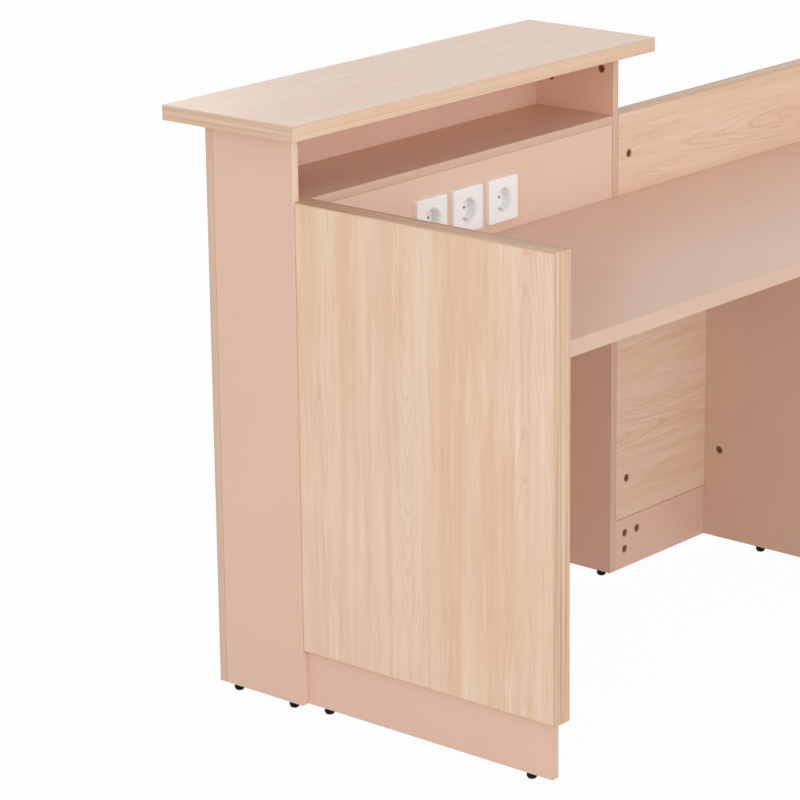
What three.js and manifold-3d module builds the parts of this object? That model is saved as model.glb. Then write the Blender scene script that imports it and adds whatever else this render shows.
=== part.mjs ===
// Reception desk: a raised visitor counter on a shallow tower, a seated worktop behind it,
// wood gables and a wood front panel on inset plinths, cam-jointed boards, three wall sockets
// and screw-in levelling feet.
//
// Millimetres, +Z up. +X runs along the desk to the staff's right, +Y points at the visitor.
// While the pieces are placed, x = 0 is the tower's outer left face, y = 0 is the plane where the
// tower meets the worktop and z = 0 is the floor. The finished desk is then moved so that its
// origin is the centre of its footprint box on the floor.

import * as THREE from 'three';
import { mergeVertices, toCreasedNormals } from 'three/addons/utils/BufferGeometryUtils.js';
import Module from 'manifold-3d';

const wasm = await Module();
wasm.setup();

// Boards
const BOARD = 16;                // tower, plinth and support boards
const COUNTER_BOARD = 26;
const WORKTOP_BOARD = 28;
const GABLE_BOARD = 40;          // doubled-up board
const FRONT_BOARD = 36;          // doubled-up board
const EDGE_BAND = 2;             // thickness of a glued edge band
const EDGE_EASE = 1;             // rounding of a band's long edges
const GLUE_GAP = 0.1;            // between a band and its board
const JOINT_GAP = 0.3;           // between boards and fittings that meet

// Layout
const DESK_LENGTH = 1800;        // tower's left face to the right gable's outer face
const TOWER_WIDTH = 883;
const TOWER_DEPTH = 194;         // side board and front board together
const FOOT_LIFT = 10;            // lower edge of the boards above the floor
const PLINTH_RISE = 99;          // height of a plinth board
const WORKTOP_HEIGHT = 742;      // top of the worktop
const WORKTOP_DEPTH = 534;
const SCREEN_RISE = 154;         // gables and front panel above the worktop
const SHELF_RISE = 154;          // top of the niche shelf above the worktop
const NICHE_HEIGHT = 114;        // clear height between the shelf and the counter
const COUNTER_LEFT_OVERHANG = 45;
const COUNTER_RIGHT_OVERHANG = 50;
const COUNTER_STAFF_OVERHANG = 45;
const COUNTER_VISITOR_OVERHANG = 55;
const GABLE_DEPTH = 546;
const GABLE_STEP = 4;            // left gable's outer face behind the tower's side
const PLINTH_SIDE_INSET = 11;    // plinth behind the faces of its gable
const PLINTH_END_INSET = 13;     // plinth behind the ends of its gable
const SUPPORT_OFFSET = 286;      // tower's right face to the middle support
const SUPPORT_DEPTH = 520;
const SOCKET_PANEL_DROP = 100;   // socket panel below the worktop's top
const SOCKET_PANEL_STEP = 0.5;   // socket panel behind the edges around it

// Cam joints: a cam in a face bore pulls a bolt that is screwed into the next board
const CAM_DIAMETER = 15;
const CAM_HEIGHT = 11;
const CAM_RECESS = 2;            // cam behind the board's face
const CAM_SLOT = 2;              // width of the screwdriver cross
const CAM_SLOT_DEPTH = 1.8;
const CAM_SLOT_LENGTH = 9;
const BOLT_DEPTH = 8;            // bolt axis below the board's face
const BOLT_HEAD_DIAMETER = 6.6;
const BOLT_HEAD_LENGTH = 3;
const BOLT_NECK_DIAMETER = 4;
const BOLT_COLLAR_DIAMETER = 7;
const BOLT_THREAD_DIAMETER = 5.6;
const BOLT_THREAD_LENGTH = 11;
const BOLT_TIP = 1.5;            // taper at the end of the thread
const FIT_GAP = 0.4;             // around a fitting in its bore
const CAM_SETBACK = 34;          // cam centre to the board's end
const CAM_EDGE_INSET = 79;       // first cam from the side of a wide joint
const TOWER_CAM_SETBACK = 30;    // counter cams below the tower's top
const TOWER_CAM_INSET = 27;      // counter cams behind the tower's staff edges
const TOWER_CAM_DROP = 57;       // front cams below the tower's top
const PLINTH_CAM_SETBACK = 30;
const PLINTH_CAM_RISE = 37;      // lower plinth cam above the plinth's lower edge
const PLINTH_CAM_PITCH = 32;
const PLINTH_TOP_CAM_SETBACK = 30;
const PLINTH_TOP_CAM_OFFSET = 68; // top cam from the plinth's end

// Levelling feet
const FOOT_DIAMETER = 18;
const FOOT_TOE_DIAMETER = 14;    // flat that stands on the floor
const FOOT_TOE_HEIGHT = 3;
const FOOT_STEM_DIAMETER = 8;
const FOOT_STEM_LENGTH = 28;     // inside the board
const FOOT_BORE_RESERVE = 2;     // bore beyond the stem
const TOWER_FOOT_REAR = 26;      // from the tower's staff face
const TOWER_FOOT_FRONT = 38;     // from the tower's visitor face
const PLINTH_FOOT_REAR = 42;
const PLINTH_FOOT_FRONT = 48;
const SUPPORT_FOOT_REAR = 131;
const SUPPORT_FOOT_FRONT = 38;

// Wall sockets
const SOCKET_COUNT = 3;
const SOCKET_FIRST = 348;        // centre of the first socket from the tower's left face
const SOCKET_PITCH = 97;
const SOCKET_RISE = 59;          // centres above the worktop
const COVER_SIZE = 80;
const COVER_CORNER = 3;
const COVER_RISE = 8;
const COVER_EASE = 1.2;
const COVER_WALL = 3;
const COVER_FRONT = 2.4;
const DISH_DIAMETER = 40;
const DISH_FLOOR_DIAMETER = 38.5;
const DISH_DEPTH = 17.5;
const DISH_WALL = 2;
const DISH_LIP = 0.6;            // dish rim behind the cover's front
const MECHANISM_DEPTH = 14;      // contact block behind the dish floor
const PIN_DIAMETER = 5;
const PIN_DEPTH = 11;
const PIN_SPACING = 19;
const KEY_WIDTH = 5;             // guide ribs at the dish's left and right
const KEY_HEIGHT = 2.2;
const CLIP_SLOT_WIDTH = 7;       // slots for the earth clips, top and bottom
const CLIP_SLOT_DEPTH = 1.2;
const CARRIER_THICKNESS = 1.5;
const BOX_DIAMETER = 68;
const BOX_DEPTH = 47;
const BOX_WALL = 2;

// Angle brackets under the worktop
const BRACKET_LEG = 40;
const BRACKET_THICKNESS = 3;
const BRACKET_LENGTH = 300;
const BRACKET_SETBACK = 120;     // rear end from the tower plane
const BRACKET_HOLE_DIAMETER = 5;
const BRACKET_HOLE_INSET = 40;

// Facets
const HOLE_SIDES = 16;
const BOLT_SIDES = 10;
const FOOT_SIDES = 16;
const DISH_SIDES = 28;
const OVERRUN = 1;               // a cutter runs this far past the face it enters
const WELD = 1e-4;               // vertices this close are one
const CREASE = Math.PI / 5;      // sharper edges than this stay sharp

const X = new THREE.Vector3(1, 0, 0);
const Y = new THREE.Vector3(0, 1, 0);
const Z = new THREE.Vector3(0, 0, 1);

const FINISHES = {
  blush_board: { color: 0xd9ae98, roughness: 0.5, metalness: 0 },
  blush_edge: { color: 0xd2ab94, roughness: 0.45, metalness: 0 },
  maple_board: { color: 0xe3c4a7, roughness: 0.5, metalness: 0 },
  maple_edge: { color: 0xd8b895, roughness: 0.45, metalness: 0 },
  cam_zinc: { color: 0x6f665e, roughness: 0.4, metalness: 0.8 },
  bolt_steel: { color: 0xa9a9a6, roughness: 0.35, metalness: 0.9 },
  foot_black: { color: 0x17171a, roughness: 0.5, metalness: 0 },
  socket_white: { color: 0xf0eeec, roughness: 0.25, metalness: 0 },
  box_grey: { color: 0x55575a, roughness: 0.6, metalness: 0 },
  bracket_steel: { color: 0x8d8f92, roughness: 0.4, metalness: 0.8 },
};

const desk = new THREE.Group();

function addMesh(name, finish, geometry, position = new THREE.Vector3()) {
  const mesh = new THREE.Mesh(geometry, new THREE.MeshStandardMaterial(FINISHES[finish]));
  mesh.name = name;
  mesh.position.copy(position);
  desk.add(mesh);
  return mesh;
}

// Solid modelling: a closed geometry becomes a solid, solids are cut or joined, and come back

function toSolid(geometry) {
  const plain = geometry.clone();
  for (const attribute of Object.keys(plain.attributes)) {
    if (attribute !== 'position') plain.deleteAttribute(attribute);
  }
  const merged = mergeVertices(plain, WELD);
  return new wasm.Manifold(new wasm.Mesh({
    numProp: 3,
    vertProperties: Float32Array.from(merged.attributes.position.array),
    triVerts: Uint32Array.from(merged.index.array),
  }));
}

function toGeometry(solid) {
  const { vertProperties, triVerts } = solid.getMesh();
  const geometry = new THREE.BufferGeometry();
  geometry.setAttribute('position', new THREE.BufferAttribute(Float32Array.from(vertProperties), 3));
  geometry.setIndex(new THREE.BufferAttribute(Uint32Array.from(triVerts), 1));
  return toCreasedNormals(geometry, CREASE);
}

function combine(geometry, { joins = [], cuts = [] }) {
  let solid = toSolid(geometry);
  for (const join of joins) solid = solid.add(toSolid(join));
  for (const cut of cuts) solid = solid.subtract(toSolid(cut));
  return toGeometry(solid);
}

// A span box: low and high corners on the three axes, in desk coordinates
function span(x, y, z) {
  return new THREE.Box3(new THREE.Vector3(x[0], y[0], z[0]), new THREE.Vector3(x[1], y[1], z[1]));
}

function boxGeometry(box) {
  const size = box.getSize(new THREE.Vector3());
  return new THREE.BoxGeometry(size.x, size.y, size.z);
}

// Turns a geometry's +Y axis to a direction
function aim(geometry, direction) {
  return geometry.applyQuaternion(new THREE.Quaternion().setFromUnitVectors(Y, direction));
}

// A round cutter in desk coordinates that enters at a point and runs along a direction
function drill(diameter, entry, direction, depth, sides = HOLE_SIDES) {
  const length = depth + OVERRUN;
  const cutter = aim(new THREE.CylinderGeometry(diameter / 2, diameter / 2, length, sides), direction);
  const middle = entry.clone().addScaledVector(direction, length / 2 - OVERRUN);
  return cutter.translate(middle.x, middle.y, middle.z);
}

function cutBy(geometry, centre, cuts) {
  if (cuts.length === 0) return geometry;
  const moved = cuts.map((cut) => cut.clone().translate(-centre.x, -centre.y, -centre.z));
  return combine(geometry, { cuts: moved });
}

// A plain board that fills a span box, with its drillings
function addBoard(name, finish, box, cuts = []) {
  const centre = box.getCenter(new THREE.Vector3());
  addMesh(name, finish, cutBy(boxGeometry(box), centre, cuts), centre);
}

// A board whose four narrow sides carry a glued band with rounded edges
function addBandedBoard(name, finish, bandFinish, box, thicknessAxis, cuts = []) {
  const centre = box.getCenter(new THREE.Vector3());
  const size = box.getSize(new THREE.Vector3());
  const turn = new THREE.Quaternion().setFromUnitVectors(Z, thicknessAxis);
  const flat = size.clone().applyQuaternion(turn.clone().invert());
  const [width, height, thickness] = flat.toArray().map(Math.abs);

  const outline = new THREE.Shape();
  outline.moveTo(-width / 2, -height / 2).lineTo(width / 2, -height / 2);
  outline.lineTo(width / 2, height / 2).lineTo(-width / 2, height / 2).closePath();
  const band = new THREE.ExtrudeGeometry(outline, {
    depth: thickness - 2 * EDGE_EASE,
    bevelThickness: EDGE_EASE,
    bevelSize: EDGE_EASE,
    bevelOffset: -EDGE_EASE,
    bevelSegments: 2,
  }).translate(0, 0, EDGE_EASE - thickness / 2);
  const pocket = new THREE.BoxGeometry(
    width - 2 * EDGE_BAND, height - 2 * EDGE_BAND, thickness + 2 * OVERRUN);
  const ring = combine(band, { cuts: [pocket] }).applyQuaternion(turn);

  const coreInset = 2 * (EDGE_BAND + GLUE_GAP);
  const core = new THREE.BoxGeometry(width - coreInset, height - coreInset, thickness);
  core.applyQuaternion(turn);
  addMesh(name, finish, cutBy(core, centre, cuts), centre);
  addMesh(`${name}_edge_band`, bandFinish, cutBy(ring, centre, cuts), centre);
}

// Cam joints

// The cam's mouth and the bolt lie along +Y, the cam's axis along +Z with its slotted face on top
function camGeometry() {
  const body = new THREE.CylinderGeometry(CAM_DIAMETER / 2, CAM_DIAMETER / 2, CAM_HEIGHT, HOLE_SIDES);
  body.applyQuaternion(new THREE.Quaternion().setFromUnitVectors(Y, Z)).translate(0, 0, -CAM_HEIGHT / 2);
  const slots = [[CAM_SLOT_LENGTH, CAM_SLOT], [CAM_SLOT, CAM_SLOT_LENGTH]].map(([x, y]) => (
    new THREE.BoxGeometry(x, y, 2 * CAM_SLOT_DEPTH)));
  const bore = BOLT_HEAD_DIAMETER + 2 * FIT_GAP;
  const reach = CAM_DIAMETER / 2 + BOLT_HEAD_LENGTH;
  const mouthStart = new THREE.Vector3(0, CAM_DIAMETER / 2, CAM_RECESS - BOLT_DEPTH);
  const mouth = drill(bore, mouthStart, Y.clone().negate(), reach);
  return combine(body, { cuts: [...slots, mouth] });
}

// A turned bolt along +Y whose head sits at the origin, in the cam
function boltGeometry(setback) {
  const head = BOLT_HEAD_DIAMETER / 2;
  const neck = BOLT_NECK_DIAMETER / 2;
  const collar = BOLT_COLLAR_DIAMETER / 2;
  const thread = BOLT_THREAD_DIAMETER / 2;
  const collarStart = CAM_DIAMETER / 2 + FIT_GAP;
  const threadEnd = setback + JOINT_GAP + BOLT_THREAD_LENGTH;
  const profile = [
    [0, -BOLT_HEAD_LENGTH / 2], [head, -BOLT_HEAD_LENGTH / 2], [head, BOLT_HEAD_LENGTH / 2],
    [neck, BOLT_HEAD_LENGTH / 2], [neck, collarStart], [collar, collarStart],
    [collar, setback], [thread, setback], [thread, threadEnd - BOLT_TIP],
    [thread - BOLT_TIP / 2, threadEnd], [0, threadEnd],
  ].map(([radius, along]) => new THREE.Vector2(radius, along));
  return new THREE.LatheGeometry(profile, BOLT_SIDES);
}

// One joint: the cam sits in a bore at a point on a face, and its bolt runs towards the next board
function camJoint({ name, at, inward, toward, setback }) {
  const outward = inward.clone().negate();
  const turn = new THREE.Quaternion().setFromRotationMatrix(
    new THREE.Matrix4().makeBasis(toward.clone().cross(outward), toward, outward));
  const camFace = at.clone().addScaledVector(inward, CAM_RECESS);
  const boltStart = at.clone().addScaledVector(inward, BOLT_DEPTH);
  const boardEnd = boltStart.clone().addScaledVector(toward, setback);
  const nextFace = boardEnd.clone().addScaledVector(toward, JOINT_GAP);
  return {
    camBore: drill(CAM_DIAMETER + 2 * FIT_GAP, at, inward, CAM_RECESS + CAM_HEIGHT + FIT_GAP),
    boltBore: drill(BOLT_COLLAR_DIAMETER + 2 * FIT_GAP, boardEnd, toward.clone().negate(), setback),
    threadBore: drill(BOLT_THREAD_DIAMETER + 2 * FIT_GAP, nextFace, toward, BOLT_THREAD_LENGTH + FIT_GAP),
    build() {
      addMesh(`${name}_cam`, 'cam_zinc', camGeometry().applyQuaternion(turn), camFace);
      addMesh(`${name}_cam_bolt`, 'bolt_steel', boltGeometry(setback).applyQuaternion(turn), boltStart);
    },
  };
}

// Levelling feet

function footBore(foot) {
  const entry = new THREE.Vector3(foot.x, foot.y, FOOT_LIFT);
  return drill(FOOT_STEM_DIAMETER + 2 * FIT_GAP, entry, Z, FOOT_STEM_LENGTH + FOOT_BORE_RESERVE);
}

// A turned foot: a toe that widens into a round pad, and the screw stem above it
function addFoot(foot) {
  const pad = FOOT_DIAMETER / 2;
  const stem = FOOT_STEM_DIAMETER / 2;
  const padTop = FOOT_LIFT - JOINT_GAP;
  const profile = [
    [0, 0], [FOOT_TOE_DIAMETER / 2, 0], [pad, FOOT_TOE_HEIGHT], [pad, padTop],
    [stem, padTop], [stem, FOOT_LIFT + FOOT_STEM_LENGTH], [0, FOOT_LIFT + FOOT_STEM_LENGTH],
  ].map(([radius, height]) => new THREE.Vector2(radius, height));
  const geometry = new THREE.LatheGeometry(profile, FOOT_SIDES);
  geometry.applyQuaternion(new THREE.Quaternion().setFromUnitVectors(Y, Z));
  addMesh(foot.name, 'foot_black', geometry, new THREE.Vector3(foot.x, foot.y, 0));
}

// Wall sockets, with +Y into the panel and y = 0 on the panel's face

function roundedSquare(size, corner) {
  const half = size / 2;
  const outline = new THREE.Shape();
  outline.moveTo(-half + corner, -half);
  outline.lineTo(half - corner, -half).absarc(half - corner, -half + corner, corner, -Math.PI / 2, 0);
  outline.lineTo(half, half - corner).absarc(half - corner, half - corner, corner, 0, Math.PI / 2);
  outline.lineTo(-half + corner, half).absarc(-half + corner, half - corner, corner, Math.PI / 2, Math.PI);
  outline.lineTo(-half, -half + corner);
  outline.absarc(-half + corner, -half + corner, corner, Math.PI, Math.PI * 1.5);
  return outline;
}

// Extrudes an outline drawn in x and z from y = 0 back towards the room
function extrudeOutwards(outline, depth, options = { bevelEnabled: false }) {
  const solid = new THREE.ExtrudeGeometry(outline, { depth, curveSegments: 3, ...options });
  return solid.rotateX(Math.PI / 2);
}

// A moulded cover: a square shell with rounded front edges, hollow behind, open at the dish
function coverGeometry() {
  const square = roundedSquare(COVER_SIZE, COVER_CORNER);
  const shell = extrudeOutwards(square, COVER_RISE - JOINT_GAP - COVER_EASE, {
    bevelThickness: COVER_EASE, bevelSize: COVER_EASE, bevelOffset: -COVER_EASE, bevelSegments: 2,
  }).translate(0, -JOINT_GAP, 0);
  const back = new THREE.BoxGeometry(2 * COVER_SIZE, 2 * COVER_EASE, 2 * COVER_SIZE);
  back.translate(0, COVER_EASE - JOINT_GAP, 0);
  const hollowDepth = COVER_RISE - COVER_FRONT;
  const hollow = new THREE.BoxGeometry(
    COVER_SIZE - 2 * COVER_WALL, 2 * hollowDepth, COVER_SIZE - 2 * COVER_WALL);
  const mouth = DISH_DIAMETER + 2 * (DISH_WALL + JOINT_GAP);
  const opening = drill(mouth, new THREE.Vector3(0, -COVER_RISE, 0), Y, 2 * COVER_RISE, DISH_SIDES);
  return combine(shell, { cuts: [back, hollow, opening] });
}

// The dish with its guide ribs and pin holes, the contact block behind it and its mounting plate
function insertGeometry() {
  const front = DISH_LIP - COVER_RISE;
  const floor = front + DISH_DEPTH;
  const outer = DISH_DIAMETER / 2 + DISH_WALL;
  const profile = [
    [0, floor], [DISH_FLOOR_DIAMETER / 2, floor], [DISH_DIAMETER / 2, front], [outer, front],
    [outer, floor + MECHANISM_DEPTH], [0, floor + MECHANISM_DEPTH],
  ].map(([radius, along]) => new THREE.Vector2(radius, along));
  const dish = new THREE.LatheGeometry(profile, DISH_SIDES);

  const plateSize = COVER_SIZE - 2 * (COVER_WALL + JOINT_GAP);
  const plate = new THREE.BoxGeometry(plateSize, CARRIER_THICKNESS, plateSize);
  plate.translate(0, -JOINT_GAP - CARRIER_THICKNESS / 2, 0);
  const plateHole = drill(
    2 * outer - DISH_WALL, new THREE.Vector3(0, -COVER_RISE, 0), Y, 2 * COVER_RISE, DISH_SIDES);
  const carrier = combine(plate, { cuts: [plateHole] });

  const keyDepth = DISH_DEPTH - 2 * DISH_LIP;
  const keys = [-1, 1].map((side) => (
    new THREE.BoxGeometry(KEY_HEIGHT + DISH_WALL, keyDepth, KEY_WIDTH)
      .translate(side * (DISH_DIAMETER / 2 - KEY_HEIGHT / 2), floor - keyDepth / 2 + DISH_LIP, 0)));
  const pins = [-1, 1].map((side) => (
    drill(PIN_DIAMETER, new THREE.Vector3(side * PIN_SPACING / 2, floor, 0), Y, PIN_DEPTH, BOLT_SIDES)));
  const clipSlots = [-1, 1].map((side) => (
    new THREE.BoxGeometry(CLIP_SLOT_WIDTH, DISH_DEPTH, 2 * CLIP_SLOT_DEPTH)
      .translate(0, floor - DISH_DEPTH / 2, side * DISH_DIAMETER / 2)));
  return combine(dish, { joins: [carrier, ...keys], cuts: [...pins, ...clipSlots] });
}

// The round wall box in the panel's hole, open at the front
function boxCupGeometry() {
  const outer = BOX_DIAMETER / 2;
  const inner = outer - BOX_WALL;
  const profile = [
    [0, BOX_DEPTH], [outer, BOX_DEPTH], [outer, 0], [inner, 0],
    [inner, BOX_DEPTH - BOX_WALL], [0, BOX_DEPTH - BOX_WALL],
  ].map(([radius, along]) => new THREE.Vector2(radius, along));
  return new THREE.LatheGeometry(profile.reverse(), DISH_SIDES);
}

function addSocket(number, centre) {
  addMesh(`socket_cover_${number}`, 'socket_white', coverGeometry(), centre);
  addMesh(`socket_insert_${number}`, 'socket_white', insertGeometry(), centre);
  addMesh(`socket_box_${number}`, 'box_grey', boxCupGeometry(), centre);
}

// An angle bracket along +Y: one leg up against the gable, the other under the worktop
function bracketGeometry(side) {
  const profile = new THREE.Shape();
  profile.moveTo(0, 0).lineTo(BRACKET_LEG, 0).lineTo(BRACKET_LEG, -BRACKET_THICKNESS);
  profile.lineTo(BRACKET_THICKNESS, -BRACKET_THICKNESS).lineTo(BRACKET_THICKNESS, -BRACKET_LEG);
  profile.lineTo(0, -BRACKET_LEG).closePath();
  const angle = extrudeOutwards(profile, BRACKET_LENGTH);
  const holes = [BRACKET_HOLE_INSET, BRACKET_LENGTH - BRACKET_HOLE_INSET].flatMap((along) => [
    drill(BRACKET_HOLE_DIAMETER, new THREE.Vector3(BRACKET_LEG / 2, -along, 0), Z.clone().negate(),
      BRACKET_THICKNESS + OVERRUN, BOLT_SIDES),
    drill(BRACKET_HOLE_DIAMETER, new THREE.Vector3(0, -along, -BRACKET_LEG / 2), X,
      BRACKET_THICKNESS + OVERRUN, BOLT_SIDES),
  ]);
  const bracket = combine(angle, { cuts: holes });
  return side > 0 ? bracket : bracket.rotateZ(Math.PI).translate(0, -BRACKET_LENGTH, 0);
}

// Heights and planes that the pieces share
const plinthTop = FOOT_LIFT + PLINTH_RISE;
const panelTop = WORKTOP_HEIGHT + SCREEN_RISE;
const shelfTop = WORKTOP_HEIGHT + SHELF_RISE;
const towerTop = shelfTop + NICHE_HEIGHT;
const worktopUnder = WORKTOP_HEIGHT - WORKTOP_BOARD;
const frontBoardY = TOWER_DEPTH - BOARD;
const rightSideX = TOWER_WIDTH - BOARD;
const frontPanelX = TOWER_WIDTH + JOINT_GAP;
const supportX = TOWER_WIDTH + SUPPORT_OFFSET;
const leftGable = [GABLE_STEP, GABLE_STEP + GABLE_BOARD];
const rightGable = [DESK_LENGTH - GABLE_BOARD, DESK_LENGTH];
const worktopEnds = [leftGable[1] + JOINT_GAP, rightGable[0] - JOINT_GAP];

const sockets = Array.from({ length: SOCKET_COUNT }, (_, index) => new THREE.Vector3(
  SOCKET_FIRST + index * SOCKET_PITCH, SOCKET_PANEL_STEP, WORKTOP_HEIGHT + SOCKET_RISE));

// Feet, in rows under the boards that stand on them
const feetUnder = {
  tower_left: [BOARD / 2, TOWER_FOOT_REAR, TOWER_DEPTH - TOWER_FOOT_FRONT],
  tower_right: [TOWER_WIDTH - BOARD / 2, TOWER_FOOT_REAR, TOWER_DEPTH - TOWER_FOOT_FRONT],
  left_gable: [leftGable[0] + PLINTH_SIDE_INSET + BOARD / 2,
    -PLINTH_FOOT_REAR, PLINTH_FOOT_FRONT + PLINTH_END_INSET - GABLE_DEPTH],
  support: [supportX + BOARD / 2, -SUPPORT_FOOT_REAR, SUPPORT_FOOT_FRONT - SUPPORT_DEPTH],
  right_gable: [rightGable[1] - PLINTH_SIDE_INSET - BOARD / 2,
    -PLINTH_FOOT_REAR, PLINTH_FOOT_FRONT + PLINTH_END_INSET - GABLE_DEPTH],
};
const feet = {};
for (const [board, [x, rearY, frontY]] of Object.entries(feetUnder)) {
  feet[board] = [
    { name: `foot_${board}_rear`, x, y: rearY },
    { name: `foot_${board}_front`, x, y: frontY },
  ];
}
const footBores = (board) => feet[board].map(footBore);

// Cam joints, by the board that holds the cam
const towerJoints = {};
for (const [side, faceX, inward] of [['left', BOARD, X.clone().negate()], ['right', rightSideX, X]]) {
  towerJoints[side] = {
    counter: camJoint({
      name: `tower_${side}_counter`, inward, toward: Z, setback: TOWER_CAM_SETBACK,
      at: new THREE.Vector3(faceX, TOWER_CAM_INSET, towerTop - TOWER_CAM_SETBACK),
    }),
    front: camJoint({
      name: `tower_${side}_front`, inward, toward: Y, setback: CAM_SETBACK,
      at: new THREE.Vector3(faceX, frontBoardY - JOINT_GAP - CAM_SETBACK, towerTop - TOWER_CAM_DROP),
    }),
  };
}
const frontJoints = [['upper', panelTop - CAM_EDGE_INSET], ['lower', plinthTop + CAM_EDGE_INSET]].map(
  ([level, height]) => camJoint({
    name: `front_panel_${level}`, inward: Y, toward: X.clone().negate(), setback: CAM_SETBACK,
    at: new THREE.Vector3(frontPanelX + CAM_SETBACK, 0, height),
  }));
const plinthJoints = [['lower', 0], ['upper', PLINTH_CAM_PITCH]].map(([level, rise]) => camJoint({
  name: `front_plinth_${level}`, inward: Y, toward: X.clone().negate(), setback: PLINTH_CAM_SETBACK,
  at: new THREE.Vector3(frontPanelX + PLINTH_CAM_SETBACK, 0, FOOT_LIFT + PLINTH_CAM_RISE + rise),
}));
const plinthTopJoint = camJoint({
  name: 'front_plinth_top', inward: Y, toward: Z, setback: PLINTH_TOP_CAM_SETBACK,
  at: new THREE.Vector3(frontPanelX + PLINTH_TOP_CAM_OFFSET, 0,
    plinthTop - JOINT_GAP - PLINTH_TOP_CAM_SETBACK),
});
const supportJoint = camJoint({
  name: 'middle_support', inward: X, toward: Y, setback: CAM_SETBACK,
  at: new THREE.Vector3(supportX, -JOINT_GAP - CAM_SETBACK, plinthTop + CAM_EDGE_INSET),
});

// Tower: two sides, the board that faces the visitor, the niche shelf and the socket panel
const sideCuts = ({ counter, front }) => [counter.camBore, counter.boltBore, front.camBore, front.boltBore];
const rightSideThreads = [...frontJoints, ...plinthJoints].map((joint) => joint.threadBore);
addBoard('tower_left_side', 'blush_board',
  span([0, BOARD], [0, frontBoardY - JOINT_GAP], [FOOT_LIFT, towerTop]),
  [...sideCuts(towerJoints.left), ...footBores('tower_left')]);
addBoard('tower_right_side', 'blush_board',
  span([rightSideX, TOWER_WIDTH], [0, frontBoardY - JOINT_GAP], [FOOT_LIFT, towerTop]),
  [...sideCuts(towerJoints.right), ...footBores('tower_right'), ...rightSideThreads]);
addBoard('tower_front_panel', 'blush_board',
  span([0, TOWER_WIDTH], [frontBoardY, TOWER_DEPTH], [FOOT_LIFT, towerTop]),
  [towerJoints.left.front.threadBore, towerJoints.right.front.threadBore]);
const betweenSides = [BOARD + JOINT_GAP, rightSideX - JOINT_GAP];
addBoard('niche_shelf', 'blush_board',
  span(betweenSides, [0, frontBoardY - JOINT_GAP], [shelfTop - BOARD, shelfTop]));
addBoard('socket_panel', 'blush_board',
  span(betweenSides, [SOCKET_PANEL_STEP, SOCKET_PANEL_STEP + BOARD],
    [WORKTOP_HEIGHT - SOCKET_PANEL_DROP, shelfTop - BOARD - JOINT_GAP]),
  sockets.map((centre) => drill(BOX_DIAMETER + 2 * JOINT_GAP, centre, Y, BOARD + OVERRUN, DISH_SIDES)));

// Tops
addBandedBoard('counter_top', 'maple_board', 'maple_edge',
  span([-COUNTER_LEFT_OVERHANG, TOWER_WIDTH + COUNTER_RIGHT_OVERHANG],
    [-COUNTER_STAFF_OVERHANG, TOWER_DEPTH + COUNTER_VISITOR_OVERHANG],
    [towerTop + JOINT_GAP, towerTop + JOINT_GAP + COUNTER_BOARD]),
  Z, [towerJoints.left.counter.threadBore, towerJoints.right.counter.threadBore]);
addBandedBoard('worktop', 'blush_board', 'blush_edge',
  span(worktopEnds, [-WORKTOP_DEPTH, -JOINT_GAP], [worktopUnder, WORKTOP_HEIGHT]), Z);

// Gables on their plinths
for (const [side, [near, far]] of [['left', leftGable], ['right', rightGable]]) {
  addBandedBoard(`${side}_gable`, 'maple_board', 'maple_edge',
    span([near, far], [-GABLE_DEPTH, -JOINT_GAP], [plinthTop, panelTop]), X);
  const plinthNear = side === 'left' ? near + PLINTH_SIDE_INSET : far - PLINTH_SIDE_INSET - BOARD;
  addBoard(`${side}_gable_plinth`, 'blush_board',
    span([plinthNear, plinthNear + BOARD], [PLINTH_END_INSET - GABLE_DEPTH, -JOINT_GAP],
      [FOOT_LIFT, plinthTop - JOINT_GAP]),
    footBores(`${side}_gable`));
}

// Front panel on its plinth, and the support under the middle of the worktop
addBandedBoard('front_panel', 'maple_board', 'maple_edge',
  span([frontPanelX, DESK_LENGTH], [0, FRONT_BOARD], [plinthTop, panelTop]), Y,
  [...frontJoints.flatMap((joint) => [joint.camBore, joint.boltBore]),
    plinthTopJoint.threadBore, supportJoint.threadBore]);
addBoard('front_plinth', 'blush_board',
  span([frontPanelX, DESK_LENGTH - PLINTH_END_INSET], [0, BOARD], [FOOT_LIFT, plinthTop - JOINT_GAP]),
  [...plinthJoints, plinthTopJoint].flatMap((joint) => [joint.camBore, joint.boltBore]));
addBoard('middle_support', 'blush_board',
  span([supportX, supportX + BOARD], [-SUPPORT_DEPTH, -JOINT_GAP], [FOOT_LIFT, worktopUnder - JOINT_GAP]),
  [supportJoint.camBore, supportJoint.boltBore, ...footBores('support')]);

// Fittings
const joints = [...Object.values(towerJoints).flatMap(({ counter, front }) => [counter, front]),
  ...frontJoints, ...plinthJoints, plinthTopJoint, supportJoint];
for (const joint of joints) joint.build();
for (const foot of Object.values(feet).flat()) addFoot(foot);
sockets.forEach((centre, index) => addSocket(index + 1, centre));
const bracketTop = worktopUnder - JOINT_GAP;
addMesh('worktop_bracket_left', 'bracket_steel', bracketGeometry(1),
  new THREE.Vector3(leftGable[1] + JOINT_GAP, -BRACKET_SETBACK, bracketTop));
addMesh('worktop_bracket_right', 'bracket_steel', bracketGeometry(-1),
  new THREE.Vector3(rightGable[0] - JOINT_GAP, -BRACKET_SETBACK, bracketTop));

// The origin goes to the centre of the footprint box, on the floor
const footprint = new THREE.Box3().setFromObject(desk);
const middle = footprint.getCenter(new THREE.Vector3());
desk.position.set(-middle.x, -middle.y, -footprint.min.z);

export default desk;
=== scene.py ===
"""Looks of a reception desk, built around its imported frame.

The CAD boards keep their shape and get eased edges and laminate finishes. Edge bands of the thin
boards, wall socket mouldings, earth clips, bracket screws and threaded feet are worked out here.
Lengths are metres, +Z is up, -Y is the staff side and -X is the tower's end.
"""

import math
from collections import namedtuple

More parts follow.
